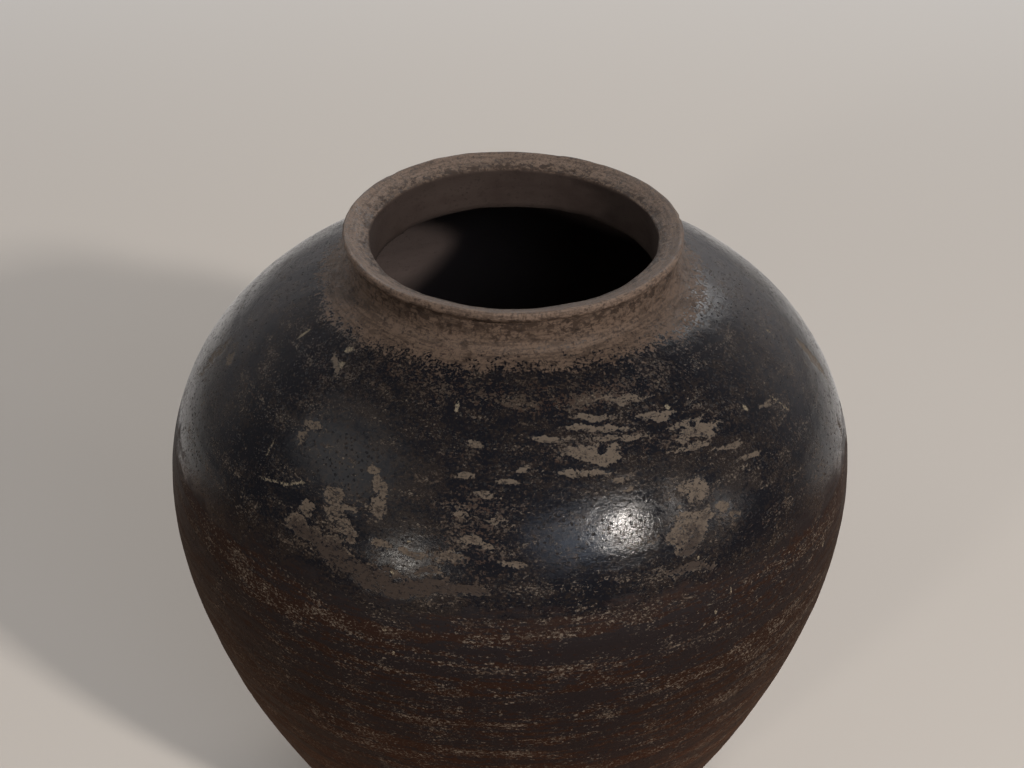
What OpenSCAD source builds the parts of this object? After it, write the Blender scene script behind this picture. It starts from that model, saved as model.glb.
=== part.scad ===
// Wide-bellied clay storage jar, built from a base slab, seven wall courses, a neck collar and a rim coil.
// Each course sits on the one below on a bevelled lap. Millimetres, +Z up, origin at the centre of the underside.

/* [Foot] */
// Outside radius of the foot
foot_r = 94; // [88:1:100]
// Thickness of the base slab
base_t = 9; // [7:0.5:12]
// How far the wall leans outwards as it leaves the foot, in degrees
foot_flare = 32; // [28:1:35]
// How long the wall keeps that lean
foot_reach = 70; // [60:1:80]

/* [Belly] */
// Outside radius at the widest point
belly_r = 170; // [162:1:178]
// Height of the widest point
belly_h = 218; // [208:1:228]
// Fullness of the wall below the widest point
fullness_below = 63; // [55:1:80]
// Fullness of the wall above the widest point
fullness_above = 62; // [50:1:75]
// Thickness of the wall
wall = 8; // [6:0.5:10]

/* [Shoulder] */
// Outside radius at which the shoulder meets the neck collar
shoulder_r = 81.5; // [79:0.5:85]
// Height at which the shoulder meets the neck collar
shoulder_h = 328; // [325:1:331]
// Fall of the shoulder where it leaves the collar, in degrees
shoulder_fall = 17; // [12:1:20]
// How long the shoulder keeps that fall
shoulder_reach = 45; // [38:1:52]

/* [Mouth] */
// Inside radius of the mouth
mouth_r = 67.5; // [65:0.5:69]
// Outside radius of the collar at its waist
waist_r = 76; // [74:0.5:77]
// Outside radius of the lip
lip_r = 79.5; // [78:0.5:81]
// Thickness of the lip at its outer edge
lip_t = 5.5; // [4.5:0.5:7]
// Fall of the top of the lip towards the mouth
lip_fall = 4.5; // [3:0.5:6]
// Overall height
jar_h = 350; // [348:1:354]

/* [Hidden] */

COURSES = 7;            // wall courses between the slab and the collar
STEPS = 6;              // straight stretches that follow the curve of one course
LAP = 0.035;            // how far a joint drops towards the inside, as a share of half the wall's outline
FOOT_CHAMFER = 1.5;     // worn lower edge of the slab
INNER_EDGE_R = 1;       // rounding of the lip's inner edge
TOP_EDGE_R = 1.25;      // rounding of the lip's upper outer edge
UNDER_EDGE_R = 2.5;     // rounding of the lip's lower outer edge
LIP_LAP = 6;            // how far the joint under the lip drops towards the inside
ROUND_STEPS = 6;        // straight stretches in a rounded edge
NECK_BEND = 7;          // how sharply the collar turns up out of the shoulder: smaller is sharper
WAIST_REACH = 9;        // length of the nearly upright stretch under the lip
SPLAY_H = 5;            // height over which the inside of the collar opens out to the shoulder
$fn = 180;

BLACK = [0.055, 0.055, 0.06];
RED_BROWN = [0.13, 0.085, 0.07];
GREY_BROWN = [0.27, 0.23, 0.2];

LIP_UNDER_H = jar_h - lip_t;
LIP_INNER_H = jar_h - lip_fall;

// Point at share t of a cubic curve with end points a and d and handles b and c
function curve(a, b, c, d, t) =
    pow(1 - t, 3) * a + 3 * pow(1 - t, 2) * t * b + 3 * (1 - t) * t * t * c + pow(t, 3) * d;

// Lower half of the wall's outline, from the slab (t = 0) to the widest point (t = 1), moved in by inset
function lower_half(t, inset) =
    let (start = [foot_r - inset / cos(foot_flare), base_t],
         end = [belly_r - inset, belly_h])
    curve(start, start + foot_reach * [sin(foot_flare), cos(foot_flare)],
          end - [0, fullness_below], end, t);

// Upper half of the wall's outline, from the widest point (t = 0) to the collar (t = 1), moved in by inset
function upper_half(t, inset) =
    let (start = [belly_r - inset, belly_h],
         end = [shoulder_r, shoulder_h] - inset * [sin(shoulder_fall), cos(shoulder_fall)])
    curve(start, start + [0, fullness_above],
          end + shoulder_reach * [cos(shoulder_fall), -sin(shoulder_fall)], end, t);

// The whole outline: u runs from 0 at the slab through 1 at the widest point to 2 at the collar
function outline(u, inset) = u < 1 ? lower_half(u, inset) : upper_half(u - 1, inset);

// Where the joint below course k meets the outside and the inside of the wall
function joint_outside(k) = 2 * k / COURSES;
function joint_inside(k) = k == 0 ? 0 : joint_outside(k) - LAP;

function between(a, b, i) = a + (b - a) * i / STEPS;

// Points of an arc of radius r about a centre, from angle a to angle b
function arc(centre, r, a, b) =
    [for (i = [0 : ROUND_STEPS])
        let (angle = a + (b - a) * i / ROUND_STEPS)
        centre + r * [cos(angle), sin(angle)]];

// Ring of wall number k, counted up from the slab
module course(k) {
    outside = [for (i = [0 : STEPS]) outline(between(joint_outside(k), joint_outside(k + 1), i), 0)];
    inside = [for (i = [STEPS : -1 : 0]) outline(between(joint_inside(k), joint_inside(k + 1), i), wall)];
    rotate_extrude() polygon(concat(outside, inside));
}

// Slab under the whole jar, with its lower edge worn off
module base_disc() {
    color(RED_BROWN)
    rotate_extrude()
    polygon([[0, 0], [foot_r - FOOT_CHAMFER, 0], [foot_r, FOOT_CHAMFER], [foot_r, base_t], [0, base_t]]);
}

module foot_course() {
    color(RED_BROWN) course(0);
}

module lower_wall_course() {
    color(RED_BROWN) course(1);
}

module lower_belly_course() {
    color(BLACK) course(2);
}

module belly_course() {
    color(BLACK) course(3);
}

module upper_belly_course() {
    color(BLACK) course(4);
}

module lower_shoulder_course() {
    color(BLACK) course(5);
}

module upper_shoulder_course() {
    color(GREY_BROWN) course(6);
}

// Waisted collar from the shoulder up to the underside of the lip
module neck_collar() {
    foot_outside = outline(2, 0);
    foot_inside = outline(joint_inside(COURSES), wall);
    waist = [waist_r, LIP_UNDER_H];
    sweep = [for (i = [0 : STEPS])
        curve(foot_outside, foot_outside + NECK_BEND * [-cos(shoulder_fall), sin(shoulder_fall)],
              waist - [0, WAIST_REACH], waist, i / STEPS)];
    color(GREY_BROWN)
    rotate_extrude()
    polygon(concat(sweep, [[mouth_r, LIP_UNDER_H - LIP_LAP], [mouth_r, foot_inside.y + SPLAY_H], foot_inside]));
}

// Rolled lip: outer edge rounded above and below, top that falls towards the mouth, joint that drops inside the
// collar
module rim_coil() {
    under_edge = arc([lip_r - UNDER_EDGE_R, LIP_UNDER_H + UNDER_EDGE_R], UNDER_EDGE_R, -90, 0);
    top_edge = arc([lip_r - TOP_EDGE_R, jar_h - TOP_EDGE_R], TOP_EDGE_R, 0, 90);
    inner_edge = arc([mouth_r + INNER_EDGE_R, LIP_INNER_H - INNER_EDGE_R], INNER_EDGE_R, 90, 180);
    color(GREY_BROWN)
    rotate_extrude()
    polygon(concat([[waist_r, LIP_UNDER_H]], under_edge, top_edge, inner_edge,
                   [[mouth_r, LIP_UNDER_H - LIP_LAP]]));
}

base_disc();
foot_course();
lower_wall_course();
lower_belly_course();
belly_course();
upper_belly_course();
lower_shoulder_course();
upper_shoulder_course();
neck_collar();
rim_coil();
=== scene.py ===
import math

import bpy
import numpy as np
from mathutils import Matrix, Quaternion, Vector
from mathutils.bvhtree import BVHTree


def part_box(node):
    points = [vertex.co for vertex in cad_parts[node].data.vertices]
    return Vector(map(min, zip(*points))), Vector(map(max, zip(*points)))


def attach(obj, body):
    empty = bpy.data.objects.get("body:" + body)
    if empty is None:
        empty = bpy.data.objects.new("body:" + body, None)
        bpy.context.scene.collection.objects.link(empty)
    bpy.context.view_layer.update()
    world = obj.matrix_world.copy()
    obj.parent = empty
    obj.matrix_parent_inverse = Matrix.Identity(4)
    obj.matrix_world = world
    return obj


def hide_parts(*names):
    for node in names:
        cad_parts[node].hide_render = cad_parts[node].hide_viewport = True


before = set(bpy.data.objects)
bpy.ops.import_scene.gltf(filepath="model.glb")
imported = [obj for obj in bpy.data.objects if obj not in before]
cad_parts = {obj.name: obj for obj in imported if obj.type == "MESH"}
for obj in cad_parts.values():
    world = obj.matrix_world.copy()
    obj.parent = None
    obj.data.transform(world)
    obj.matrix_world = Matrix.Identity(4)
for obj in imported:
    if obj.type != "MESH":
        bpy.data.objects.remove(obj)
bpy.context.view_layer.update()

# Lengths in this script are millimetres until a mesh, the camera or a light is made. Angles are degrees:
# azimuth 0 faces the camera (-Y) and positive azimuths go round to +X. Arrays of azimuths are radians.
METRE = 0.001

# ---------------------------------------------------------------- what the jar is made of

BASE = "base_disc"
COURSES = ["foot_course", "lower_wall_course", "lower_belly_course", "belly_course", "upper_belly_course",
           "lower_shoulder_course", "upper_shoulder_course", "neck_collar"]
RIM = "rim_coil"

TURN_STEPS = 1080           # vertices round the jar
OUTER_STEP = 1.1            # spacing of the vertex rows on the outside
LIP_STEP = 0.5              # the same round the lip
INNER_STEP = 3.0            # the same on the inside
JOINT_ROWS = 3              # rows across a hidden joint face
TURN = np.linspace(0, 2 * math.pi, TURN_STEPS, endpoint=False)


def box_mm(node):
    low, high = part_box(node)
    return np.array(low) / METRE, np.array(high) / METRE


JAR_H = box_mm(RIM)[1][2]
BASE_T = box_mm(BASE)[1][2]
LIP_R = box_mm(RIM)[1][0]
NECK_BOTTOM = box_mm("upper_shoulder_course")[1][2]
NECK_TOP = box_mm("neck_collar")[1][2]

# ---------------------------------------------------------------- smooth noise and places on the jar

NOISE_R = 150.0             # radius of the drum that the noise is sampled on, so that it closes round the jar
NOISE_START = 37.0          # where on the noise's lattice the drum stands


def corner_value(cell, seed):
    """A number from -1 to 1 for each whole-number lattice corner."""
    h = cell[:, 0] * 374761393 + cell[:, 1] * 668265263 + cell[:, 2] * 2147483647 + seed * 1274126177
    h = (h ^ (h >> 13)) * 1103515245
    h = h ^ (h >> 16)
    return (h & 0xFFFFFF) / float(0x7FFFFF) - 1.0


def noise(points, seed):
    """Smooth noise from -1 to 1 at each row of points, with one bump per unit."""
    cell = np.floor(points).astype(np.int64)
    t = points - cell
    t = t * t * t * (t * (t * 6 - 15) + 10)
    total = np.zeros(len(points))
    for i in (0, 1):
        for j in (0, 1):
            for k in (0, 1):
                weight = ((t[:, 0] if i else 1 - t[:, 0]) * (t[:, 1] if j else 1 - t[:, 1])
                          * (t[:, 2] if k else 1 - t[:, 2]))
                total += weight * corner_value(cell + np.array([i, j, k]), seed)
    return total


def drum_noise(azimuth, along, width, height, seed):
    """Noise with bumps about width mm round the jar and height mm along its outline."""
    drum = np.stack([NOISE_R * np.sin(azimuth) / width, NOISE_R * np.cos(azimuth) / width, along / height], -1)
    return noise(drum.reshape(-1, 3) + NOISE_START, seed).reshape(azimuth.shape)


def layered(layers, azimuth, along):
    """Sum of drum noises, each with its own amount, width, height and seed."""
    return sum(amount * drum_noise(azimuth, along, *shape) for amount, *shape in layers)


def smooth_step(low, high, x):
    t = np.clip((x - low) / (high - low), 0, 1)
    return t * t * (3 - 2 * t)


def angle_from(azimuth, centre):
    """Degrees from a centre azimuth, from -180 to 180."""
    return (np.degrees(azimuth) - centre + 180) % 360 - 180


def oval_distance(azimuth, height, centre, middle, half_width, half_height, tilt=0.0):
    """Distance from the middle of an oval place, in its own half sizes."""
    aside = angle_from(azimuth, centre)
    return np.hypot(aside / half_width, (height - middle - tilt * aside) / half_height)


# ---------------------------------------------------------------- the outline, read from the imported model

SAMPLE = 0.1                # spacing of the rays and of the smoothed outline
WALL_BLUR = 7.0             # half length of the stretch that evens out the wall's flats
LIP_BLUR = 0.5              # the same above the shoulder
BLUR_CHANGE = 25.0          # height over which one gives way to the other
RAY_AZIMUTH = 0.004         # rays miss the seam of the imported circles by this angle, in radians
RAY = Vector((math.cos(RAY_AZIMUTH), math.sin(RAY_AZIMUTH), 0))
ABOVE = Vector((0, 0, 1))   # a ray from this far above the floor starts clear of the jar


def model_tree():
    points, faces = [], []
    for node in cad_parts.values():
        start = len(points)
        points += [v.co.copy() for v in node.data.vertices]
        faces += [[start + i for i in p.vertices] for p in node.data.polygons]
    return BVHTree.FromPolygons(points, faces)


MODEL = model_tree()


def radius_at(height, outside):
    """Radius of the wall at a height, in mm: its outside, or its inside seen from the axis."""
    on_axis = Vector((0, 0, height * METRE))
    if outside:
        hit = MODEL.ray_cast(on_axis + RAY, -RAY)[0]
    else:
        hit = MODEL.ray_cast(on_axis, RAY)[0]
    return math.hypot(hit.x, hit.y) / METRE


def top_at(radius):
    """Height of the top of the lip at a radius, in mm."""
    hit = MODEL.ray_cast(RAY * (radius * METRE) + ABOVE, -ABOVE)[0]
    return hit.z / METRE


def widest_height():
    """Height at which the lip is widest."""
    heights = np.arange(NECK_TOP + SAMPLE, JAR_H, SAMPLE)
    return heights[int(np.argmax([radius_at(z, True) for z in heights]))]


WIDEST_H = widest_height()
MOUTH_R = radius_at(box_mm(RIM)[0][2] + 1.0, False)


def read_outline():
    """The jar's section from the bottom edge of the foot, up the outside, over the lip and down the inside to
    the floor: rows of (radius, height)."""
    inset = SAMPLE / 2
    lip_crown = LIP_R - (JAR_H - WIDEST_H)
    inner_top = top_at(MOUTH_R + inset)
    rows = [(radius_at(z, True), z) for z in np.arange(inset, JAR_H, SAMPLE)]
    rows += [(r, top_at(r)) for r in np.arange(lip_crown, MOUTH_R + inset, -SAMPLE)]
    rows += [(radius_at(z, False), z) for z in np.arange(inner_top - inset, BASE_T, -SAMPLE)]
    return np.array([(rows[0][0], 0.0)] + rows + [(rows[-1][0], BASE_T)])


def lengths_along(path):
    return np.concatenate([[0], np.cumsum(np.hypot(*np.diff(path, axis=0).T))])


def even_out(path):
    """Resamples a path by length and rounds off its flats, less so near its ends and round the lip."""
    repeated = np.hypot(*np.diff(path, axis=0).T) <= 1e-6
    path = path[np.concatenate([[True], ~repeated])]
    along = lengths_along(path)
    s = np.arange(0, along[-1], SAMPLE)
    to_end = np.minimum(s, s[-1] - s) + 1e-3
    for _ in range(2):
        r = np.interp(s, along, path[:, 0])
        z = np.interp(s, along, path[:, 1])
        half = LIP_BLUR + (WALL_BLUR - LIP_BLUR) * smooth_step(NECK_BOTTOM, NECK_BOTTOM - BLUR_CHANGE, z)
        half = np.minimum(half, to_end)
        sums = [np.concatenate([[0], np.cumsum((c[1:] + c[:-1]) / 2 * SAMPLE)]) for c in (r, z)]
        r, z = [(np.interp(s + half, s, c) - np.interp(s - half, s, c)) / (2 * half) for c in sums]
        path, along = np.stack([r, z], -1), s
    return path


OUTLINE = even_out(read_outline())
OUTLINE_S = np.arange(len(OUTLINE)) * SAMPLE
slope = np.gradient(OUTLINE, axis=0)
slope /= np.hypot(*slope.T)[:, None]
OUTLINE_NORMAL = np.stack([slope[:, 1], -slope[:, 0]], -1)
TOP_INDEX = int(np.argmax(OUTLINE[:, 1]))
OUTSIDE_R, OUTSIDE_Z = OUTLINE[:TOP_INDEX].T


def place_outside(height):
    """Distance along the outline at which the outside reaches a height."""
    return float(np.interp(height, OUTSIDE_Z, OUTLINE_S[:TOP_INDEX]))


def place_inside(height):
    """Distance along the outline at which the inside reaches a height."""
    return float(np.interp(height, OUTLINE[TOP_INDEX:][::-1, 1], OUTLINE_S[TOP_INDEX:][::-1]))


LIP_PLACE = place_outside(WIDEST_H)
MOUTH_PLACE = place_inside(top_at(MOUTH_R + SAMPLE))
SHOULDER_PLACE = place_outside(NECK_BOTTOM)

# ---------------------------------------------------------------- worn places

# Patches where the dark coat has flaked off the clay: azimuth, height, half width in degrees, half height
# in mm, tilt in mm of height per degree, strength
PATCHES = [
    # an arch of lobes on the left of the shoulder
    (-25.8, 298, 1.6, 2.6, 0, 0.84), (-23.4, 293.5, 1.7, 3, -0.8, 0.95), (-22.2, 288, 1.7, 2.6, 0, 0.86),
    (-30.5, 287, 2, 3.4, 0, 0.92), (-29.5, 282, 2.3, 3, 0, 0.95), (-27, 278, 1.9, 3.6, 0, 0.92),
    (-27.5, 285, 1.8, 1.6, 0, 0.74), (-35, 280, 1.7, 2.8, 0, 0.86),
    # the slanting band below it
    (-35, 272, 3.2, 4.2, 0, 0.92), (-30.5, 270, 4.5, 5.2, -0.3, 1), (-25, 266, 5, 4.8, -0.4, 1),
    (-19.5, 263, 4.5, 4.4, -0.2, 1), (-13.5, 265, 4.5, 4.2, 0.1, 0.94), (-8.5, 264, 4, 3.8, 0, 0.88),
    (-5, 264, 2.6, 3.2, 0, 0.8), (-20.5, 276, 2, 1.7, 0, 0.75), (-15.5, 275, 3, 1.6, 0, 0.76),
    (-13, 271, 2.6, 1.6, 0, 0.72),
    # flakes down the middle
    (-9, 276, 2.2, 2, 0, 0.8), (-6, 282, 3, 1.8, 0, 0.8), (-3.5, 281, 1.6, 1.6, 0, 0.76),
    (-8.5, 290, 1.9, 1.6, 0, 0.72), (-9, 301, 2.2, 1.4, 0, 0.78), (-4.5, 297, 2.6, 1.2, 0, 0.76),
    (-1.5, 301, 2.2, 1.1, 0, 0.74), (2, 304, 1.8, 1.1, 0, 0.74), (-3, 290, 2.2, 1.3, 0, 0.72),
    (0.5, 275, 2.4, 1.4, 0, 0.66), (-7.5, 310, 2.1, 1.1, 0, 0.84), (-42, 303, 3, 1.8, 0, 0.68),
    (-42.5, 298, 1.6, 2.4, 0, 0.62), (-47, 318, 4, 1.2, -0.5, 0.66),
    # brush-like stripes on the right of the shoulder
    (15, 306.5, 6.5, 2.4, -0.24, 0.94), (17.5, 312.5, 9, 1.1, -0.2, 0.76), (17, 315.5, 5, 1, -0.2, 0.8),
    (26, 318, 7, 1.2, -0.2, 0.74), (38, 304.5, 6.5, 1.8, -0.15, 0.88), (36, 308, 5, 1, -0.15, 0.74),
    (46.5, 291, 3.5, 0.9, -0.3, 0.86), (57, 299.5, 3, 0.9, -0.2, 0.72), (20, 298.3, 2.8, 0.9, 0, 0.76),
    (20.5, 295, 1.4, 0.8, 0, 0.66), (14, 301.8, 6, 1, -0.2, 0.8), (22, 309, 7, 0.9, -0.2, 0.78),
    (36, 301, 6, 1.2, -0.15, 0.8), (43, 297, 5, 1, -0.3, 0.78), (8, 311.5, 6, 0.9, -0.1, 0.78),
    (31, 312, 7, 0.9, -0.2, 0.74),
    # the round patch beside the highlight
    (29.5, 277, 3, 5, 0, 1), (27.2, 275.5, 1.9, 2.4, 0, 1), (32, 279, 2.3, 3.4, 0, 1),
    (29, 272, 2.1, 2.4, 0, 1), (32.5, 289, 3.4, 4.8, 0, 0.76), (37, 280, 1.9, 2.4, 0, 0.9),
    (39, 276, 1.5, 2.2, 0, 0.82), (28.5, 262.5, 3.8, 2.6, 0, 0.76), (25, 264.5, 2.2, 1.8, 0, 0.62),
    # the two edges of the jar as the camera sees it
    (84, 287, 2, 12, 0, 0.7), (78, 262, 2, 9, 0, 0.6), (-82, 288, 2.2, 12, 0, 0.6),
    (-76, 296, 2.5, 3, 0, 0.66),
    # the side away from the camera
    (118, 296, 5, 3, 0.2, 0.82), (134, 272, 7, 5, -0.2, 0.9), (152, 306, 6, 1.9, 0.1, 0.88),
    (147, 312, 7, 1.1, 0, 0.76), (171, 279, 3, 6, 0, 0.96), (176, 272, 2.5, 4, 0, 0.86),
    (-164, 292, 5, 2.4, 0.3, 0.82), (-147, 268, 7, 4.5, -0.2, 0.95), (-138, 273, 3, 4, 0, 0.82),
    (-128, 300, 5, 1.9, 0, 0.8), (-111, 276, 3, 6, 0.3, 0.86), (101, 262, 4, 4, 0, 0.72),
    (-119, 287, 3, 1.6, 0, 0.76), (160, 288, 3, 1.8, 0, 0.76), (-174, 303, 4, 1.3, 0, 0.76),
]
# Noise that bends the edges of the patches up and aside: amount, width and height in mm, seed
BEND_UP = [(3.2, 9, 8, 81), (1.6, 4, 3.5, 83)]
BEND_ASIDE = [(3.2, 9, 8, 85), (1.6, 4, 4, 87)]
FULLY_BENT = 4.0            # half size, in degrees or mm, from which a patch takes the whole bend
SHOULDER_R = 130.0          # radius of the wall where most patches lie
# Zones where the coat is rubbed through in fine streaks: azimuth, height, half width in degrees, half height
# in mm, strength
RUBBED = [
    (-6, 284, 7, 18, 0.74), (15, 308, 14, 6, 0.62), (38, 305, 11, 6, 0.5), (22, 318, 18, 4, 0.45),
    (-26, 286, 9, 9, 0.4), (-44, 312, 10, 7, 0.42), (-24, 266, 15, 6, 0.45), (33, 284, 6, 9, 0.4),
    (4, 252, 34, 6, 0.24), (-30, 244, 26, 6, 0.25), (52, 262, 12, 14, 0.36), (12, 229, 30, 5, 0.52),
    (-12, 212, 22, 5, 0.48), (22, 200, 26, 5, 0.44), (-2, 322, 60, 4, 0.5), (60, 292, 9, 9, 0.34),
    (-80, 285, 5, 14, 0.4), (20, 178, 40, 6, 0.46), (-25, 190, 20, 5, 0.4), (-16, 303, 8, 9, 0.34),
    (125, 284, 20, 14, 0.42), (160, 303, 22, 8, 0.52), (-155, 280, 20, 13, 0.44), (-118, 292, 16, 12, 0.4),
    (150, 232, 34, 6, 0.48), (-150, 224, 30, 6, 0.48), (-105, 240, 24, 7, 0.42), (100, 236, 26, 8, 0.42),
    (175, 196, 40, 7, 0.44), (110, 190, 30, 6, 0.4), (-110, 186, 30, 6, 0.4), (150, 322, 70, 4, 0.46),
]
RUBBED_LEVEL = 0.10         # how rubbed the coat is elsewhere
RUBBED_NOISE = [(0.08, 60, 12, 91)]
# Pale spots where the clay is chipped: azimuth, height, half width and half height in mm
CHIPS = [
    (-18, 267.5, 1.4, 1.1), (-16.2, 279.5, 0.9, 0.6), (-15.2, 276.5, 1, 0.5), (35, 313, 1.4, 0.8),
    (-13, 318, 1, 1.4), (-64, 318, 0.9, 2), (35, 247, 0.7, 2), (-18, 243, 1.3, 0.8), (-16.5, 233, 0.9, 1.5),
    (-37, 203, 1.2, 0.8), (59, 232, 1, 1.6), (32, 240, 0.9, 1.4), (30, 266, 1, 0.8), (78, 309, 0.9, 0.9),
    (-27, 165, 1.2, 0.9), (-48, 322, 2, 0.8), (-46, 319, 2, 0.8), (52, 303, 1.2, 1.2), (140, 286, 1.2, 1),
    (-158, 262, 1, 1.4), (-122, 306, 1.4, 0.8), (166, 236, 1.2, 1),
]
# Scratches down to the clay: azimuth and height of each end, half width in mm
SCRATCHES = [
    (-48, 293, -47.5, 286, 0.5), (-47, 280, -41.5, 283, 0.5), (-41, 283, -37.5, 287, 0.6),
    (60, 300, 62, 293, 0.5), (114, 286, 119, 281, 0.5), (-138, 295, -132, 291, 0.5),
]
# How far below the neck joint the clay is bare, along the outline: azimuth, reach in mm
BARE_NECK = [
    (-180, 5), (-90, 10), (-60, 14), (-28, 6), (0, 3), (60, 8), (90, 9), (140, 6), (180, 5),
]
BARE_NECK_FADE = 15.0       # half length of the ragged zone between the bare neck and the coat
BARE_NECK_NOISE = [(3.0, 40, 100, 61)]
COAT_EDGE = 255.0           # height at which the black coat gives way to the redder one below


def wear_at(azimuth, along, height):
    """How far the coat has flaked at each vertex: 0 whole, 0.5 at the ragged edge, 1 gone."""
    up = layered(BEND_UP, azimuth, along)
    aside = layered(BEND_ASIDE, azimuth, along) / SHOULDER_R
    wear = np.zeros_like(azimuth)
    for centre, middle, half_width, half_height, tilt, strength in PATCHES:
        bent_azimuth = azimuth + aside * min(1, half_width / FULLY_BENT)
        bent_height = height + up * min(1, half_height / FULLY_BENT)
        distance = oval_distance(bent_azimuth, bent_height, centre, middle, half_width, half_height, tilt)
        half_at_edge = np.clip(1.5 - distance, 0, 1)
        wear = np.maximum(wear, strength * half_at_edge)
    reach = np.interp(angle_from(azimuth, 0), *np.array(BARE_NECK, float).T)
    edge = SHOULDER_PLACE - reach + layered(BARE_NECK_NOISE, azimuth, 0 * along)
    bare = 0.5 + (along - edge) / (2 * BARE_NECK_FADE)
    return np.maximum(wear, np.clip(bare, 0, 1))


def rubbed_at(azimuth, along, height):
    """Share of the coat that is rubbed through in fine streaks."""
    rubbed = RUBBED_LEVEL + layered(RUBBED_NOISE, azimuth, along)
    for centre, middle, half_width, half_height, strength in RUBBED:
        distance = oval_distance(azimuth, height, centre, middle, half_width, half_height)
        rubbed = rubbed + (strength - RUBBED_LEVEL) * np.exp(-distance * distance)
    return np.clip(rubbed, 0, 1)


def chipped_at(azimuth, height):
    """Where pale clay shows in chips and scratches: 0.5 at the edge of a chip."""
    chipped = np.zeros_like(azimuth)
    radius = np.interp(height, OUTSIDE_Z, OUTSIDE_R)
    for centre, middle, half_width, half_height in CHIPS:
        x = np.radians(angle_from(azimuth, centre)) * radius / half_width
        y = (height - middle) / half_height
        chipped = np.maximum(chipped, np.clip(1.3 - 0.8 * np.hypot(x, y), 0, 1))
    for start_azimuth, start_height, end_azimuth, end_height, half_width in SCRATCHES:
        x = np.radians(angle_from(azimuth, start_azimuth)) * radius
        y = height - start_height
        run = np.radians(end_azimuth - start_azimuth) * float(np.interp(start_height, OUTSIDE_Z, OUTSIDE_R))
        rise = end_height - start_height
        t = np.clip((x * run + y * rise) / (run * run + rise * rise), 0, 1)
        gap = np.hypot(x - t * run, y - t * rise)
        chipped = np.maximum(chipped, np.clip(1.0 - gap / (3 * half_width), 0, 1) * 0.8)
    return chipped


def marks_at(azimuth, along, height):
    """Everything that the clay material needs to know about the outside at each vertex."""
    return {"wear": wear_at(azimuth, along, height), "rubbed": rubbed_at(azimuth, along, height),
            "chipped": chipped_at(azimuth, height), "along": along * METRE}


# ---------------------------------------------------------------- how the hand-built wall departs from round

# Sideways lean of the shoulder towards +X: (height, shift) in mm
LEAN = [(0, -0.8), (120, -0.6), (220, 0.0), (270, 0.9), (300, 1.8), (325, 1.6), (350, 0.4)]
# Dents and ridges of the outside that break up the highlights: azimuth, height, half width in degrees,
# half height in mm, depth in mm (negative stands proud)
DENTS = [
    (27, 281, 2.8, 34, 0.28), (22.5, 282, 2.6, 30, -0.05), (-25, 279, 3, 26, 0.25),
    (-8, 285, 4.5, 40, 0.22), (44, 262, 8, 22, 0.4), (-47, 288, 9, 20, 0.35),
]
COAT_DEPTH = 0.12           # how deep the flaked patches are
COAT_RIM = (0.40, 0.66)     # wear between which the coat drops to that depth
RINGS_GROW = (270, 200)     # heights between which the wiping rings grow to their full depth
LIP_SKIN = 0.35             # share of the relief that the lip keeps
CALM_NECK = 0.65            # how much rounder the neck is than the rest
CALM_REACH = 40             # distance below the neck over which it gets so
# Chips out of the edge of the lip: azimuth, half width in degrees, depth in mm
LIP_CHIPS = [
    (52, 1.6, 0.8), (57, 1, 0.5), (-28, 1.3, 0.6), (12, 1.8, 0.5), (3, 1, 0.6), (-62, 1.5, 0.5),
    (148, 2.2, 0.9), (163, 1.3, 0.7), (-131, 1.8, 0.8), (-170, 1.2, 0.5), (97, 1.4, 0.6),
]
LIP_CHIP_REACH = 2.2        # how far along the outline a chip reaches from the widest line of the lip
# Layers of noise: amount, width round the jar and height along its outline in mm, seed
SWELL = [(0.9, 170, 220, 3), (0.5, 85, 110, 5)]
SCRAPED = [(0.30, 34, 60, 11), (0.13, 15, 22, 13), (0.04, 5.0, 3.0, 23)]
WIPED = [(0.10, 130, 7.0, 17), (0.05, 60, 2.8, 19)]
FINGERED = [(0.5, 60, 9, 29), (0.3, 20, 14, 31)]
LIP_RISE = [(0.35, 60, 100, 41), (0.18, 18, 100, 43)]
LIP_SHIFT = [(0.30, 45, 100, 47), (0.12, 9, 100, 49)]


def body_form(azimuth, along):
    """Swell of the whole wall, inside and outside alike, in mm."""
    at_neck = smooth_step(SHOULDER_PLACE - CALM_REACH, SHOULDER_PLACE, along)
    return layered(SWELL, azimuth, along) * (1 - CALM_NECK * at_neck)


def outside_skin(azimuth, along, height):
    """Relief of the outside, in mm: scraped facets, wiping rings, dents and flaked patches."""
    wall = smooth_step(LIP_PLACE + 4, SHOULDER_PLACE - 6, along)
    rings = 0.5 + 0.5 * smooth_step(*RINGS_GROW, height)
    relief = layered(SCRAPED, azimuth, along) + rings * layered(WIPED, azimuth, along)
    for centre, middle, half_width, half_height, depth in DENTS:
        distance = oval_distance(azimuth, height, centre, middle, half_width, half_height)
        relief = relief - depth * np.exp(-distance * distance)
    relief = relief - COAT_DEPTH * wall * smooth_step(*COAT_RIM, wear_at(azimuth, along, height))
    return relief * (LIP_SKIN + (1 - LIP_SKIN) * wall)


def lip_form(azimuth, along, height):
    """Height and outward shift of the lip, in mm: it isn't level or quite round, and its edge is chipped."""
    on_lip = smooth_step(NECK_BOTTOM + 4, JAR_H - 5, height)
    rise = layered(LIP_RISE, azimuth, 0 * along)
    out = layered(LIP_SHIFT, azimuth, 0 * along)
    at_edge = np.exp(-((along - LIP_PLACE) / LIP_CHIP_REACH) ** 2)
    for centre, half_width, depth in LIP_CHIPS:
        aside = angle_from(azimuth, centre) / half_width
        out = out - at_edge * depth * np.exp(-aside ** 4)
    return on_lip * rise, on_lip * out


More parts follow.
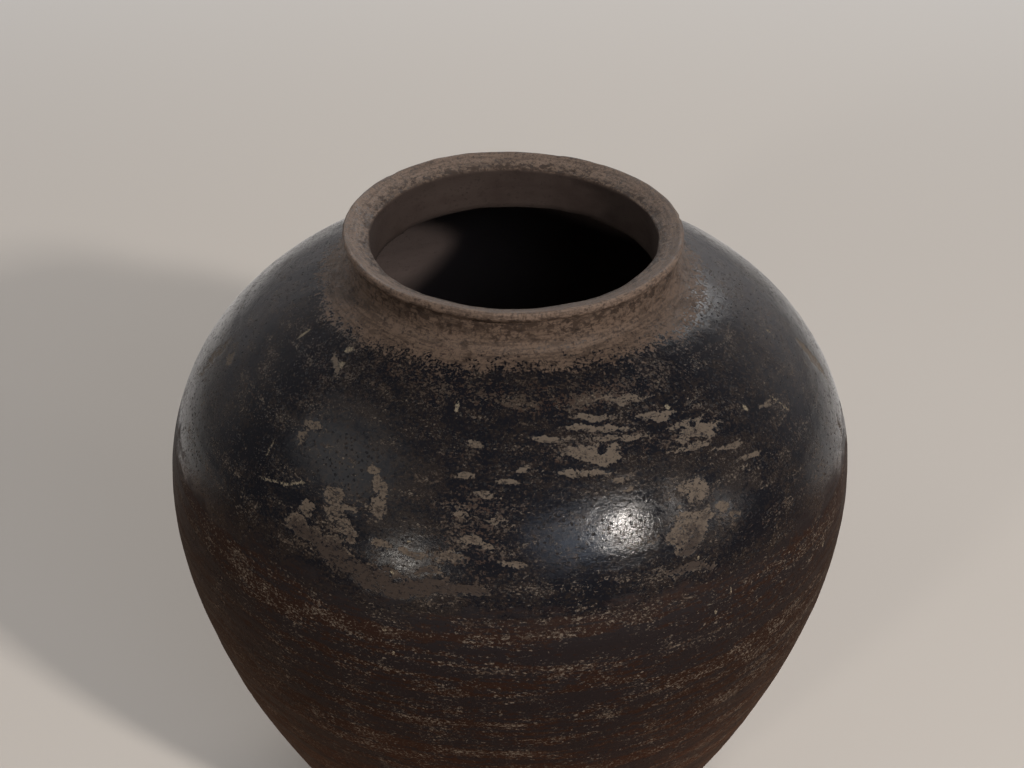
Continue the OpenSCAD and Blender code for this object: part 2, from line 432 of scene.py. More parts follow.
def surface(along):
    """The finished surface on rows at these distances along the outline: its points in mm, as an array of
    (rows, TURN_STEPS, 3), and for each row 0 outside and 1 within the mouth."""
    s = np.asarray(along, float)[:, None] + 0 * TURN[None, :]
    azimuth = TURN[None, :] + 0 * s
    radius = np.interp(s, OUTLINE_S, OUTLINE[:, 0])
    height = np.interp(s, OUTLINE_S, OUTLINE[:, 1])
    normal_r = np.interp(s, OUTLINE_S, OUTLINE_NORMAL[:, 0])
    normal_z = np.interp(s, OUTLINE_S, OUTLINE_NORMAL[:, 1])
    # the inside swells like the outside at its height, so that the wall keeps its thickness
    outer_s = np.where(s <= LIP_PLACE, s, np.interp(height, OUTSIDE_Z, OUTLINE_S[:TOP_INDEX]))
    off_ground = smooth_step(0, 30, height)
    off_floor = smooth_step(0, 12, height - BASE_T)
    swell = body_form(azimuth, outer_s) * off_ground
    inward = smooth_step(LIP_PLACE, MOUTH_PLACE + 3, s)
    relief = (1 - inward) * outside_skin(azimuth, s, height)
    relief = relief + inward * layered(FINGERED, azimuth, s) * off_floor
    rise, out = lip_form(azimuth, s, height)
    lean = np.interp(height, *np.array(LEAN, float).T)
    r = radius + normal_r * relief + swell + out
    z = height + normal_z * relief * off_ground + rise
    within = smooth_step(MOUTH_PLACE - 1.0, MOUTH_PLACE + 0.8, s[:, 0])
    return np.stack([r * np.sin(azimuth) + lean, -r * np.cos(azimuth), z], -1), within


# ---------------------------------------------------------------- meshes

NO_TRIANGLES = np.zeros((0, 3), int)
DISC_SHARES = np.linspace(1, 0.02, 28)[1:]      # rows of a flat disc, as shares of its rim's radius
UNDERSIDE_PLACE = -8.0      # distance along the outline that stands for the whole underside
UNDERSIDE_SEED, FLOOR_SEED = 71, 73


def make_object(name, points, quads, triangles, attributes):
    mesh = bpy.data.meshes.new(name)
    mesh.vertices.add(len(points))
    mesh.vertices.foreach_set("co", (points * METRE).astype(np.float32).ravel())
    loops = np.concatenate([quads.ravel(), triangles.ravel()])
    mesh.loops.add(len(loops))
    mesh.loops.foreach_set("vertex_index", loops.astype(np.int32))
    sizes = np.concatenate([np.full(len(quads), 4), np.full(len(triangles), 3)])
    starts = np.concatenate([[0], np.cumsum(sizes)[:-1]])
    mesh.polygons.add(len(sizes))
    mesh.polygons.foreach_set("loop_start", starts.astype(np.int32))
    mesh.update(calc_edges=True)
    mesh.polygons.foreach_set("use_smooth", np.ones(len(sizes), bool))
    for key, values in attributes.items():
        layer = mesh.attributes.new(key, "FLOAT", "POINT")
        layer.data.foreach_set("value", values.astype(np.float32))
    obj = bpy.data.objects.new(name, mesh)
    bpy.context.scene.collection.objects.link(obj)
    return obj


def sharpen_rows(obj, rows):
    """Marks the edges along these rows sharp, so that a hidden joint face doesn't bend the shading by it."""
    mesh = obj.data
    ends = np.empty(len(mesh.edges) * 2, np.int32)
    mesh.edges.foreach_get("vertices", ends)
    ends = ends.reshape(-1, 2) // TURN_STEPS
    sharp = (ends[:, 0] == ends[:, 1]) & np.isin(ends[:, 0], rows)
    layer = mesh.attributes.get("sharp_edge") or mesh.attributes.new("sharp_edge", "BOOLEAN", "EDGE")
    layer.data.foreach_set("value", sharp)


def grid_faces(rows, closed):
    """Quads between rows of vertices, closed round the jar and, if asked, from the last row to the first."""
    i = np.arange(rows if closed else rows - 1)[:, None]
    j = np.arange(TURN_STEPS)[None, :]
    below, above = i * TURN_STEPS, (i + 1) % rows * TURN_STEPS
    after = (j + 1) % TURN_STEPS
    return np.stack([below + j, below + after, above + after, above + j], -1).reshape(-1, 4)


def spread(start, end, step):
    return np.linspace(start, end, max(2, int(math.ceil(abs(end - start) / step)) + 1))


def joint_between(outer_row, inner_row):
    """Rows across a joint face, without its two edges."""
    share = np.linspace(0, 1, JOINT_ROWS + 2)[1:-1, None, None]
    return outer_row[None] * (1 - share) + inner_row[None] * share


def joint_value(value):
    """One value for each row of a joint face."""
    return np.full(JOINT_ROWS, float(value))


def row_marks(rows, along, within):
    """Marks for every vertex of these rows. A row's within is 1 where it isn't outside."""
    azimuth = TURN[None, :] + np.zeros((len(rows), 1))
    marks = marks_at(azimuth, along[:, None] + 0 * azimuth, rows[:, :, 2])
    marks["within"] = np.repeat(within[:, None], TURN_STEPS, 1)
    return {key: values.ravel() for key, values in marks.items()}


def closed_piece(name, rows, along, within, sharp):
    """A ring whose last row joins its first."""
    marks = row_marks(rows, along, within)
    obj = make_object(name, rows.reshape(-1, 3), grid_faces(len(rows), True), NO_TRIANGLES, marks)
    sharpen_rows(obj, sharp)
    return obj


def ring_piece(name, outer_low, outer_high, inner_high, inner_low, step):
    """A closed ring of wall: outside, upper joint, inside and lower joint, from distances along the outline."""
    outer_s = spread(outer_low, outer_high, step)
    inner_s = spread(inner_high, inner_low, INNER_STEP)
    outer, outer_in = surface(outer_s)
    inner, inner_in = surface(inner_s)
    upper = joint_between(outer[-1], inner[0])
    lower = joint_between(inner[-1], outer[0])
    rows = np.concatenate([outer, upper, inner, lower])
    along = np.concatenate([outer_s, joint_value(outer_high), inner_s, joint_value(outer_low)])
    within = np.concatenate([outer_in, joint_value(1), inner_in, joint_value(1)])
    sharp = [0, len(outer) - 1, len(outer) + JOINT_ROWS, len(rows) - JOINT_ROWS - 1]
    return closed_piece(name, rows, along, within, sharp)


def rim_piece(name, outer_low, inner_low):
    """The lip: from its joint up the outside, over the top and back down inside."""
    lip_s = spread(outer_low, inner_low, LIP_STEP)
    lip, lip_in = surface(lip_s)
    rows = np.concatenate([lip, joint_between(lip[-1], lip[0])])
    along = np.concatenate([lip_s, joint_value(inner_low)])
    within = np.concatenate([lip_in, joint_value(1)])
    return closed_piece(name, rows, along, within, [0, len(lip) - 1])


def disc_rows(rim, height, seed):
    """Rows of a flat, slightly uneven disc inside a rim row, from the rim towards the centre."""
    share = DISC_SHARES[:, None]
    azimuth = TURN[None, :] + 0 * share
    uneven = 1 + drum_noise(azimuth, 200 * share + 0 * azimuth, 40, 12, seed)
    rows = rim[None] * share[:, :, None]
    rows[:, :, 2] = height + 0.25 * uneven * smooth_step(1, 0.9, share)
    return rows


def base_piece(name, joint_s, floor_s):
    """The slab: underside, worn edge, joint face under the first course and the floor inside."""
    edge_s = spread(0, joint_s, OUTER_STEP)
    edge, _ = surface(edge_s)
    floor_edge, _ = surface([floor_s])
    joint = joint_between(edge[-1], floor_edge[0])
    under = disc_rows(edge[0], 0.0, UNDERSIDE_SEED)
    floor = disc_rows(floor_edge[0], BASE_T, FLOOR_SEED)
    rows = np.concatenate([under[::-1], edge, joint, floor_edge, floor])
    centres = [[0, 0, rows[0, :, 2].mean()], [0, 0, rows[-1, :, 2].mean()]]
    points = np.concatenate([rows.reshape(-1, 3), centres])
    under_centre, floor_centre = rows.shape[0] * TURN_STEPS, rows.shape[0] * TURN_STEPS + 1
    last_row = (len(rows) - 1) * TURN_STEPS
    j = np.arange(TURN_STEPS)
    after = (j + 1) % TURN_STEPS
    bottom = np.stack([np.full(TURN_STEPS, under_centre), after, j], -1)
    top = np.stack([np.full(TURN_STEPS, floor_centre), last_row + j, last_row + after], -1)
    along = np.concatenate([np.full(len(under), UNDERSIDE_PLACE), edge_s, joint_value(joint_s),
                            np.full(1 + len(floor), floor_s)])
    edge_start, edge_end = len(under), len(under) + len(edge)
    within = (np.arange(len(rows)) >= edge_end).astype(float)
    marks = row_marks(rows, along, within)
    marks = {key: np.concatenate([values, [values[0], values[-1]]]) for key, values in marks.items()}
    obj = make_object(name, points, grid_faces(len(rows), False), np.concatenate([bottom, top]), marks)
    sharpen_rows(obj, [edge_start, edge_end - 1, edge_end + JOINT_ROWS])
    return obj


# ---------------------------------------------------------------- shader nodes


class Nodes:
    """Short names for the shader nodes that the materials need. Sizes are in mm."""

    def __init__(self, tree):
        self.tree = tree
        self.x = 0

    def add(self, kind, **values):
        node = self.tree.nodes.new(kind)
        self.x += 30
        node.location = (self.x, 0)
        for key, value in values.items():
            setattr(node, key, value)
        return node

    def find(self, kind):
        return next(node for node in self.tree.nodes if node.type == kind)

    def link(self, source, target):
        self.tree.links.new(source, target)

    def put(self, socket, value):
        if isinstance(value, bpy.types.NodeSocket):
            self.link(value, socket)
        else:
            socket.default_value = value

    def math(self, operation, a, b=0.0, c=0.0):
        node = self.add("ShaderNodeMath", operation=operation)
        for socket, value in zip(node.inputs, (a, b, c)):
            self.put(socket, value)
        return node.outputs[0]

    def times(self, a, b):
        return self.math("MULTIPLY", a, b)

    def without(self, share, removed):
        """A share with another share of it taken away."""
        return self.times(share, self.math("SUBTRACT", 1.0, removed))

    def stirred(self, first, *noises):
        """A value moved up and down by noises of 0 to 1, each given with its gain."""
        for noise, gain in noises:
            first = self.math("ADD", first, self.times(self.math("SUBTRACT", noise, 0.5), gain))
        return first

    def ramp(self, value, low, high, to_low=0.0, to_high=1.0):
        """Smooth change from to_low to to_high as value goes from low to high."""
        node = self.add("ShaderNodeMapRange", interpolation_type="SMOOTHSTEP")
        for socket, v in zip(node.inputs, (value, low, high, to_low, to_high)):
            self.put(socket, v)
        return node.outputs[0]

    def mix(self, share, a, b):
        """Colour between a and b."""
        node = self.add("ShaderNodeMix", data_type="RGBA", clamp_factor=True)
        self.put(node.inputs[0], share)
        for socket, value in ((node.inputs[6], a), (node.inputs[7], b)):
            self.put(socket, value if isinstance(value, bpy.types.NodeSocket) else (*value, 1.0))
        return node.outputs[2]

    def blend(self, share, a, b):
        """Number between a and b."""
        node = self.add("ShaderNodeMix", data_type="FLOAT", clamp_factor=True)
        for socket, value in ((node.inputs[0], share), (node.inputs[2], a), (node.inputs[3], b)):
            self.put(socket, value)
        return node.outputs[0]

    def split(self, vector):
        node = self.add("ShaderNodeSeparateXYZ")
        self.link(vector, node.inputs[0])
        return node.outputs["X"], node.outputs["Y"], node.outputs["Z"]

    def attribute(self, name):
        return self.add("ShaderNodeAttribute", attribute_name=name).outputs["Fac"]

    def stretched(self, vector, width, height, shift=None):
        """Coordinates in which a width round the jar and a height along it are one unit, moved by a shift so
        that two noises of one size differ."""
        node = self.add("ShaderNodeMapping", vector_type="POINT")
        self.link(vector, node.inputs["Vector"])
        node.inputs["Scale"].default_value = (1 / (width * METRE), 1 / (width * METRE), 1 / (height * METRE))
        if shift is None:
            return node.outputs[0]
        move = self.add("ShaderNodeVectorMath", operation="ADD")
        self.link(node.outputs[0], move.inputs[0])
        move.inputs[1].default_value = shift
        return move.outputs[0]

    def noise(self, vector, width, height, detail=3.0, roughness=0.55, distortion=0.0, offset=0.0):
        """Cloudy noise from 0 to 1 with bumps of width by height."""
        node = self.add("ShaderNodeTexNoise", noise_dimensions="3D")
        shift = (offset, offset * 1.7, -offset) if offset else None
        self.link(self.stretched(vector, width, height, shift), node.inputs["Vector"])
        node.inputs["Scale"].default_value = 1.0
        node.inputs["Detail"].default_value = detail
        node.inputs["Roughness"].default_value = roughness
        node.inputs["Distortion"].default_value = distortion
        return node.outputs["Fac"]

    def cells(self, vector, width, height, offset):
        """Distance to the nearest scattered point, and two random numbers of that point."""
        node = self.add("ShaderNodeTexVoronoi", voronoi_dimensions="3D", feature="F1")
        shift = (offset, -offset, offset * 2.3)
        self.link(self.stretched(vector, width, height, shift), node.inputs["Vector"])
        node.inputs["Scale"].default_value = 1.0
        colour = self.add("ShaderNodeSeparateColor")
        self.link(node.outputs["Color"], colour.inputs[0])
        return node.outputs["Distance"], colour.outputs[0], colour.outputs[1]

    def specks(self, vector, width, height, offset, share, uneven):
        """Scattered specks: a share of the cells holds one, with an uneven edge."""
        distance, pick, size = self.cells(vector, width, height, offset)
        held = self.ramp(self.math("SUBTRACT", share, pick), 0, 0.02)
        radius = self.times(self.ramp(size, 0, 1, 0.3 * LARGEST_SPECK, LARGEST_SPECK), held)
        radius = self.stirred(radius, (uneven, 0.9))
        return self.times(self.ramp(self.math("SUBTRACT", radius, distance), -0.04, 0.10), held)


# ---------------------------------------------------------------- the clay

BLACK = (0.0056, 0.0058, 0.0078)
WARM_BLACK = (0.0145, 0.0112, 0.0100)
RED_BLACK = (0.0130, 0.0040, 0.0015)
RED_BROWN = (0.0440, 0.0150, 0.0062)
NECK_CLAY = (0.0980, 0.0680, 0.0500)
NECK_DARK = (0.0540, 0.0370, 0.0270)
PATCH_CLAY = (0.0840, 0.0660, 0.0500)
PATCH_DARK = (0.0300, 0.0215, 0.0170)
RUB_BROWN = (0.0480, 0.0350, 0.0260)
RUB_RED = (0.0280, 0.0120, 0.0065)
SPECK = (0.1150, 0.0940, 0.0730)
PALE = (0.3400, 0.2900, 0.2000)
LIP_CLAY = (0.1440, 0.1050, 0.0810)
LIP_DARK = (0.0820, 0.0590, 0.0460)
SOOT = (0.0220, 0.0140, 0.0115)
INNER_NECK = (0.0310, 0.0215, 0.0180)
INNER_CLAY = (0.0700, 0.0530, 0.0480)
# dark clay for real stains, also used as painted shade under the lip
STAIN_AND_SHADE = (0.0240, 0.0150, 0.0105)

# Pairs of heights in mm between which one thing gives way to another
RED_FADE = (COAT_EDGE + 5, COAT_EDGE - 7)       # the black coat to the redder one below
REDDEST = (200, 95)         # dark red to red-brown
NECK_FADE = (318, 325)      # flaked patches to bare neck
PATCH_LIGHTER = (264, 284)  # darker patches to lighter ones
LIP_SHADE = (332, 342)      # clean neck to the clay under the lip, with denser stain there as painted shade of the undercut
LIP_SIDE = (348.5, 345.5)   # the top of the lip to that clay with its stain and painted shade
LIP_TOP_HIGHLIGHT = (349.0, 346.0)  # the top of the lip, nearly free of stain as a painted highlight along its edge, to its side with more stain
LIP_FADE = (345.0, 347.5)   # the neck's clay to the lip's
INNER_FADE = (322, 312)     # the sooted inside of the neck to the clay of the body

LARGEST_SPECK = 0.36        # radius of the largest specks and pits, as a share of their cell
SPECULAR = 0.19
# Relief in mm: what the coat and its noises stand proud, and how deep the marks are
COAT_RELIEF = 0.10
GRAIN_RELIEF = 0.020
CRUMB_RELIEF = (0.045, 0.11)    # on the coat and where it has flaked off
THIN_RELIEF = 0.03
MOTTLE_RELIEF = 0.10
DEPTHS = {"rub": 0.035, "coarse_specks": 0.06, "fine_specks": 0.04, "pits": 0.20, "chips": 0.25}


class Clay(Nodes):
    """The fired clay: a burnished dark coat over grey-brown clay, redder and more speckled low down. Each step
    keeps the sockets that later steps need: noises, and masks that are 1 where something shows."""

    def read_places(self):
        self.place = self.add("ShaderNodeTexCoord").outputs["Object"]
        x, y, z = self.split(self.place)
        self.height = self.times(z, 1 / METRE)
        self.drum = self.drum_place(x, y)
        self.wear, self.rubbed = self.attribute("wear"), self.attribute("rubbed")
        self.chipped, self.within = self.attribute("chipped"), self.attribute("within")

    def drum_place(self, x, y):
        """Coordinates of the noise drum: round the jar, and along its outline."""
        radius = self.math("SQRT", self.math("ADD", self.times(x, x), self.times(y, y)))
        turn = self.math("DIVIDE", NOISE_R * METRE, self.math("MAXIMUM", radius, 0.02))
        along = self.attribute("along")
        join = self.add("ShaderNodeCombineXYZ")
        for socket, value in zip(join.inputs, (self.times(x, turn), self.times(y, turn), along)):
            self.link(value, socket)
        return join.outputs[0]

    def make_noises(self):
        """Cloudy noises, from the largest to the finest."""
        self.cloud = self.noise(self.place, 45, 45, 3)
        self.band = self.noise(self.drum, 120, 7, 3, 0.6, offset=2.0)
        self.line = self.noise(self.drum, 46, 2.6, 3, 0.6, 0.2, offset=73.0)
        self.thrown = self.noise(self.drum, 26, 1.3, 4, 0.62, 0.1, offset=67.0)
        self.blotch = self.noise(self.drum, 16, 9, 3, 0.6, offset=29.0)
        self.streak = self.noise(self.drum, 8.0, 2.2, 5, 0.66, 0.5, offset=3.0)
        self.ragged = self.noise(self.drum, 5.5, 3.8, 5, 0.64, 0.6, offset=11.0)
        self.thin = self.noise(self.drum, 3.2, 0.85, 3, 0.64, 0.3, offset=7.0)
        self.mottle = self.noise(self.drum, 2.6, 1.7, 4, 0.66, 0.6, offset=61.0)
        self.crumbs = self.noise(self.place, 1.2, 1.0, 3, 0.64, offset=17.0)
        self.grain = self.noise(self.place, 0.55, 0.55, 2, 0.6, offset=23.0)

    def mark_zones(self):
        """The redder body below the black coat, and the bare neck above it."""
        self.low = self.ramp(self.stirred(self.height, (self.blotch, 34), (self.streak, 16)), *RED_FADE)
        self.lowest = self.ramp(self.stirred(self.height, (self.cloud, 60)), *REDDEST)
        self.neck = self.ramp(self.height, *NECK_FADE)

    def mark_flakes(self):
        """Where the coat is gone, but for crackled remains, and where fine streaks are rubbed through."""
        frayed = self.stirred(0.5, (self.streak, 0.35), (self.mottle, 0.65), (self.thin, 0.25),
                              (self.crumbs, 0.80))
        self.field = self.stirred(self.wear, (self.ragged, 0.85), (frayed, 1.15))
        crackle = self.noise(self.drum, 7, 3.4, 4, 0.6, 0.8, offset=43.0)
        crack = self.ramp(self.math("ABSOLUTE", self.math("SUBTRACT", crackle, 0.5)), 0.030, 0.012)
        crack = self.times(crack, self.ramp(self.blotch, 0.44, 0.52))
        remains = self.math("MAXIMUM", crack, self.ramp(frayed, 0.43, 0.38))
        remains = self.times(remains, self.ramp(self.neck, 0, 1, 0.9, 0.45))
        self.flaked = self.without(self.ramp(self.field, 0.47, 0.60), remains)
        self.covered = self.math("SUBTRACT", 1.0, self.flaked)
        reach = self.stirred(self.rubbed, (self.blotch, 1.4), (self.band, 1.2))
        streaky = self.math("SUBTRACT", frayed, self.math("MULTIPLY_ADD", reach, -0.30, 0.70))
        self.rub = self.times(self.ramp(streaky, 0.0, 0.07), self.covered)

    def mark_specks(self):
        """Specks, denser low down and in bands, pits and chips."""
        dense = self.times(self.low, 0.20)
        dense = self.stirred(dense, (self.band, 1.1), (self.blotch, 1.4), (self.line, 0.9))
        dense = self.math("ADD", dense, -0.05)
        coarse = self.specks(self.drum, 2.2, 1.1, 5.0, dense, self.crumbs)
        fleck = self.noise(self.drum, 1.35, 0.85, 3, 0.68, 0.3, offset=71.0)
        fine = self.ramp(self.math("MULTIPLY_ADD", dense, 0.24, fleck), 0.62, 0.68)
        self.coarse_specks = self.times(coarse, self.covered)
        self.fine_specks = self.times(fine, self.covered)
        pitted = self.ramp(self.blotch, 0.3, 0.7, 0.35, 0.90)
        self.pits = self.specks(self.place, 2.0, 1.5, 53.0, pitted, self.grain)
        self.chips = self.ramp(self.stirred(self.chipped, (self.crumbs, 1.3)), 0.56, 0.64)

    def coat_colour(self):
        """The coat: black above and red below, rubbed brown in streaks and speckled with clay."""
        dull = self.stirred(0.5, (self.cloud, 0.35), (self.blotch, 0.45), (self.mottle, 0.75),
                            (self.crumbs, 0.45))
        black = self.mix(self.ramp(dull, 0.42, 0.60), BLACK, WARM_BLACK)
        red = self.mix(self.lowest, RED_BLACK, RED_BROWN)
        stripe = self.stirred(self.band, (self.streak, 0.8), (self.line, 0.7), (self.mottle, 0.5))
        red = self.mix(self.ramp(stripe, 0.42, 0.58), self.mix(0.75, red, BLACK), red)
        colour = self.mix(self.low, black, red)
        brownness = self.stirred(self.blotch, (self.thin, 0.6))
        rub_tone = self.mix(self.ramp(brownness, 0.40, 0.62), RUB_RED, RUB_BROWN)
        colour = self.mix(self.times(self.rub, 0.80), colour, rub_tone)
        fine_show = self.times(self.fine_specks, self.ramp(self.crumbs, 0.35, 0.65, 0.25, 1.0))
        colour = self.mix(fine_show, colour, SPECK)
        coarse_show = self.times(self.coarse_specks, self.ramp(self.streak, 0.35, 0.65, 0.35, 1.0))
        return self.mix(coarse_show, colour, SPECK)

    def patch_colour(self):
        """Clay in the flaked patches: lighter higher up and near their edges."""
        tone = self.stirred(self.crumbs, (self.ragged, 0.8))
        tone = self.math("ADD", tone, self.ramp(self.height, *PATCH_LIGHTER, -0.28, 0.14))
        tone = self.math("ADD", tone, self.ramp(self.field, 0.55, 0.90, 0.14, -0.06))
        return self.mix(self.ramp(tone, 0.34, 0.66), PATCH_DARK, PATCH_CLAY)

    def neck_colour(self):
        """Bare clay of the neck and lip, with turning lines and stains; denser stain under the lip is painted
        shade of the undercut, and thinner stain on the lip's top is a painted highlight.
        """
        tone = self.stirred(self.thrown, (self.thin, 0.4), (self.blotch, 0.7), (self.crumbs, 0.4))
        bare = self.mix(self.ramp(tone, 0.34, 0.60), NECK_DARK, NECK_CLAY)
        lip_tone = self.ramp(self.stirred(self.thrown, (self.crumbs, 0.9)), 0.34, 0.64)
        lip = self.mix(lip_tone, LIP_DARK, LIP_CLAY)
        bare = self.mix(self.ramp(self.height, *LIP_FADE, 0.0, 0.85), bare, lip)
        # painted shade: stains grow denser just under the lip, where the undercut's shade falls
        undercut_shade_zone = self.times(self.ramp(self.height, *LIP_SHADE), self.ramp(self.height, *LIP_SIDE))
        stain_and_undercut_shade = self.noise(self.drum, 8, 3.0, 5, 0.68, 0.5, offset=31.0)
        stain_and_undercut_shade = self.ramp(self.math("MULTIPLY_ADD", undercut_shade_zone, 0.10, stain_and_undercut_shade), 0.54, 0.64)
        # painted highlight: stain thins out on the lip's top, so that its edge reads lighter
        stain_and_undercut_shade = self.times(stain_and_undercut_shade, self.ramp(self.height, *LIP_TOP_HIGHLIGHT, 0.28, 0.85))
        return self.mix(stain_and_undercut_shade, bare, STAIN_AND_SHADE)

    def inner_colour(self):
        tone = self.ramp(self.noise(self.place, 24, 12, 4, offset=41.0), 0.30, 0.60)
        return self.mix(self.ramp(self.height, *INNER_FADE), self.mix(tone, SOOT, INNER_NECK), INNER_CLAY)

    def colour(self):
        bare = self.mix(self.neck, self.patch_colour(), self.neck_colour())
        colour = self.mix(self.flaked, self.coat_colour(), bare)
        chip = self.mix(self.ramp(self.grain, 0.35, 0.65), PATCH_CLAY, PALE)
        colour = self.mix(self.times(self.chips, 0.55), colour, chip)
        return self.mix(self.within, colour, self.inner_colour())

    def roughness(self):
        """Polished above, duller below, and dull wherever the clay shows."""
        smear = self.stirred(self.cloud, (self.streak, 0.5), (self.crumbs, 0.9))
        polish = self.ramp(smear, 0.35, 0.65, 0.13, 0.27)
        satin = self.ramp(self.stirred(self.band, (self.streak, 0.5)), 0.35, 0.65, 0.52, 0.68)
        value = self.stirred(self.blend(self.low, polish, satin), (self.grain, 0.12))
        value = self.blend(self.times(self.rub, 0.8), value, 0.58)
        spots = self.math("MAXIMUM", self.math("MAXIMUM", self.coarse_specks, self.fine_specks), self.pits)
        value = self.blend(spots, value, 0.70)
        value = self.blend(self.flaked, value, self.ramp(self.crumbs, 0.3, 0.7, 0.60, 0.78))
        value = self.blend(self.chips, value, 0.80)
        return self.blend(self.within, value, 0.85)

    def normal(self):
        relief = self.times(self.covered, COAT_RELIEF)
        for mark, depth in DEPTHS.items():
            relief = self.math("SUBTRACT", relief, self.times(getattr(self, mark), depth))
        crumb_relief = self.blend(self.flaked, *CRUMB_RELIEF)
        for noise, amount in ((self.grain, GRAIN_RELIEF), (self.crumbs, crumb_relief), (self.thin, THIN_RELIEF),
                              (self.mottle, MOTTLE_RELIEF)):
            relief = self.math("MULTIPLY_ADD", noise, amount, relief)
        bump = self.add("ShaderNodeBump")
        bump.inputs["Strength"].default_value = 1.0
        bump.inputs["Distance"].default_value = METRE
        self.link(relief, bump.inputs["Height"])
        return bump.outputs[0]


def new_material(name, kind):
    material = bpy.data.materials.new(name)
    material.use_nodes = True
    return material, kind(material.node_tree)


def clay_material():
    material, clay = new_material("burnished_clay", Clay)
    clay.read_places()
    clay.make_noises()
    clay.mark_zones()
    clay.mark_flakes()
    clay.mark_specks()
    shader = clay.find("BSDF_PRINCIPLED")
    clay.link(clay.colour(), shader.inputs["Base Color"])
    clay.link(clay.roughness(), shader.inputs["Roughness"])
    clay.link(clay.normal(), shader.inputs["Normal"])
    shader.inputs["Specular IOR Level"].default_value = SPECULAR
    return material


# ---------------------------------------------------------------- the jar

CLAY = clay_material()


def finish_piece(obj, node):
    obj.data.materials.append(CLAY)
    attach(obj, "root")
    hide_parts(node)


def build_jar():
    low_outer = place_outside(BASE_T)
    low_inner = OUTLINE_S[-1]
    finish_piece(base_piece("clay_" + BASE, low_outer, low_inner), BASE)
    for node, next_node in zip(COURSES, COURSES[1:] + [RIM]):
        high_outer = place_outside(box_mm(node)[1][2])
        high_inner = place_inside(box_mm(next_node)[0][2])
        step = LIP_STEP if node == "neck_collar" else OUTER_STEP
        finish_piece(ring_piece("clay_" + node, low_outer, high_outer, high_inner, low_inner, step), node)
        low_outer, low_inner = high_outer, high_inner
    finish_piece(rim_piece("clay_" + RIM, low_outer, low_inner), RIM)


build_jar()

# ---------------------------------------------------------------- stage, light and camera, in metres

FLOOR_HALF = 40.0
FLOOR_SEEN = (0.475, 0.445, 0.41)
FLOOR_FADE = (0.6, 2.6)     # distances from the axis between which the floor turns into the backdrop
TABLE = (0.25, 0.16, 0.105)
WALL = (0.74, 0.72, 0.70)
TABLE_END = (0.24, 0.34)    # how far behind the axis bare wood gives way to a white wall
WORLD_DIM = (0.100, 0.100, 0.108)
WORLD_BRIGHT = (0.74, 0.70, 0.70)
WORLD_SEEN = (0.62, 0.61, 0.60)

# Area lights: name, azimuth and elevation seen from LIT_PLACE, distance, size, power in watts, colour
LIT_PLACE = Vector((0, 0, 0.25))
LIGHTS = [
    ("key", 39.5, 31, 2.2, (0.14, 0.14), 43, (1.0, 0.93, 0.86)),
    ("key_glow", 23, 32, 2.2, (0.75, 0.7), 6.5, (0.70, 0.81, 1.0)),
    ("side", 70, 16, 2.4, (0.3, 0.3), 3.5, (1.0, 0.95, 0.90)),
    ("fill", -72, 42, 2.2, (1.4, 1.0), 6, (1.0, 0.97, 0.93)),
    ("window", -31, 19, 2.4, (0.20, 0.22), 12.5, (1.0, 0.93, 0.84)),
    ("back", 172, 34, 2.8, (2.6, 0.9), 44, (1.0, 0.98, 0.96)),
]

CAMERA_PLACE = (0.0009, -0.6444, 0.69475)
CAMERA_PITCH = 33.96        # degrees below level
CAMERA_ROLL = 0.6           # degrees
CAMERA_LENS, CAMERA_SENSOR = 55.0, 36.0         # mm


def floor_material():
    """A plain pale floor that melts into the backdrop, and lights the jar as wood and a white wall would."""
    material, n = new_material("pale_floor", Nodes)
    shader = n.find("BSDF_PRINCIPLED")
    camera = n.add("ShaderNodeLightPath").outputs["Is Camera Ray"]
    place = n.add("ShaderNodeTexCoord").outputs["Object"]
    around = n.mix(n.ramp(n.split(place)[1], *TABLE_END), TABLE, WALL)
    n.link(n.mix(camera, around, FLOOR_SEEN), shader.inputs["Base Color"])
    shader.inputs["Roughness"].default_value = 0.9
    glow = n.add("ShaderNodeEmission")
    glow.inputs["Color"].default_value = (*WORLD_SEEN, 1.0)
    length = n.add("ShaderNodeVectorMath", operation="LENGTH")
    n.link(place, length.inputs[0])
    join = n.add("ShaderNodeMixShader")
    n.link(n.times(n.ramp(length.outputs["Value"], *FLOOR_FADE), camera), join.inputs[0])
    n.link(shader.outputs[0], join.inputs[1])
    n.link(glow.outputs[0], join.inputs[2])
    n.link(join.outputs[0], n.find("OUTPUT_MATERIAL").inputs["Surface"])
    return material


def make_floor():
    mesh = bpy.data.meshes.new("floor")
    corners = [(x * FLOOR_HALF, y * FLOOR_HALF, 0) for x, y in ((-1, -1), (1, -1), (1, 1), (-1, 1))]
    mesh.from_pydata(corners, [], [(0, 1, 2, 3)])
    floor = bpy.data.objects.new("floor", mesh)
    floor.data.materials.append(floor_material())
    bpy.context.scene.collection.objects.link(floor)


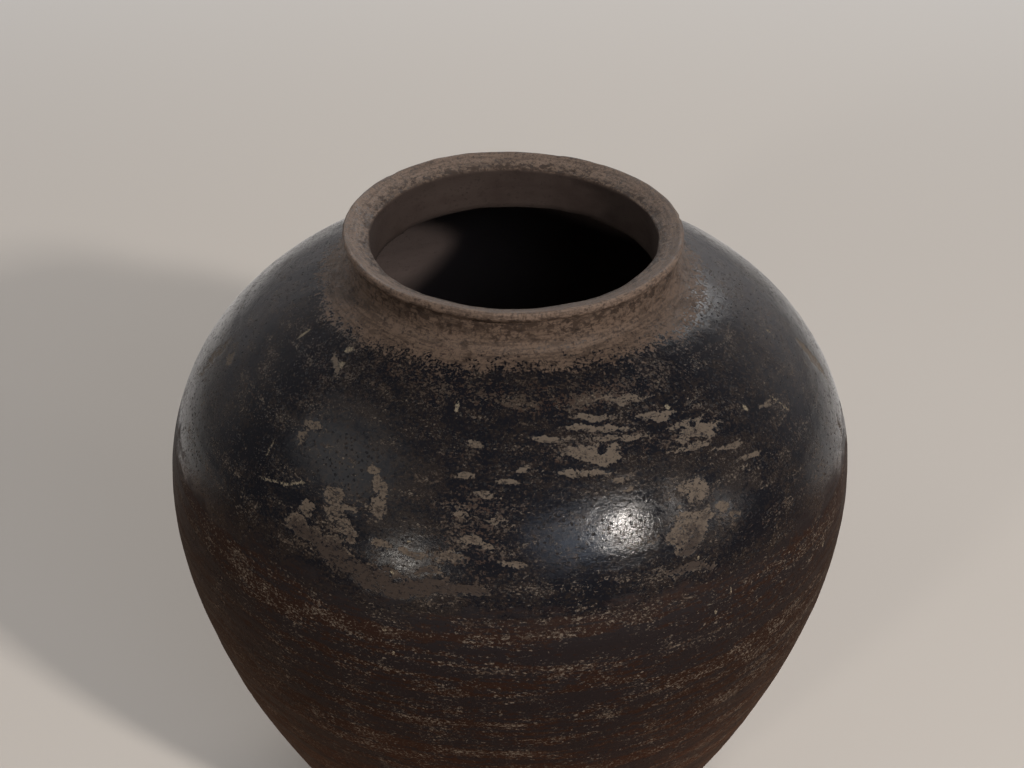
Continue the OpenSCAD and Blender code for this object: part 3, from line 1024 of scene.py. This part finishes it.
def make_world():
    """A room that is bright behind the jar and dim in front, while the camera sees a pale backdrop."""
    world = bpy.data.worlds.new("room")
    world.use_nodes = True
    bpy.context.scene.world = world
    n = Nodes(world.node_tree)
    x, y, z = n.split(n.add("ShaderNodeTexCoord").outputs["Generated"])
    bright = n.times(n.ramp(y, 0.0, 0.75), n.ramp(z, 0.85, 0.35))
    bright = n.times(bright, n.ramp(x, -0.8, 0.2, 0.55, 1.0))
    around = n.mix(bright, WORLD_DIM, WORLD_BRIGHT)
    camera = n.add("ShaderNodeLightPath").outputs["Is Camera Ray"]
    background = n.find("BACKGROUND")
    n.link(n.mix(camera, around, WORLD_SEEN), background.inputs["Color"])
    background.inputs["Strength"].default_value = 1.0


def soft_light(name, azimuth, elevation, distance, size, power, colour):
    a, e = math.radians(azimuth), math.radians(elevation)
    data = bpy.data.lights.new(name, "AREA")
    data.shape = "RECTANGLE"
    data.size, data.size_y = size
    data.energy = power
    data.color = colour
    light = bpy.data.objects.new(name, data)
    bpy.context.scene.collection.objects.link(light)
    back = Vector((math.sin(a) * math.cos(e), -math.cos(a) * math.cos(e), math.sin(e)))
    light.location = LIT_PLACE + back * distance
    light.rotation_mode = "QUATERNION"
    light.rotation_quaternion = (LIT_PLACE - light.location).to_track_quat("-Z", "Y")


def make_camera():
    data = bpy.data.cameras.new("camera")
    data.lens, data.sensor_width = CAMERA_LENS, CAMERA_SENSOR
    data.clip_start, data.clip_end = 0.01, 50
    camera = bpy.data.objects.new("camera", data)
    bpy.context.scene.collection.objects.link(camera)
    pitch, roll = math.radians(CAMERA_PITCH), math.radians(CAMERA_ROLL)
    forward = Vector((0, math.cos(pitch), -math.sin(pitch)))
    camera.location = CAMERA_PLACE
    camera.rotation_mode = "QUATERNION"
    camera.rotation_quaternion = Quaternion(forward, -roll) @ forward.to_track_quat("-Z", "Y")
    bpy.context.scene.camera = camera


make_floor()
make_world()
for light in LIGHTS:
    soft_light(*light)
make_camera()
bpy.context.scene.view_settings.view_transform = "Standard"

bpy.context.view_layer.update()
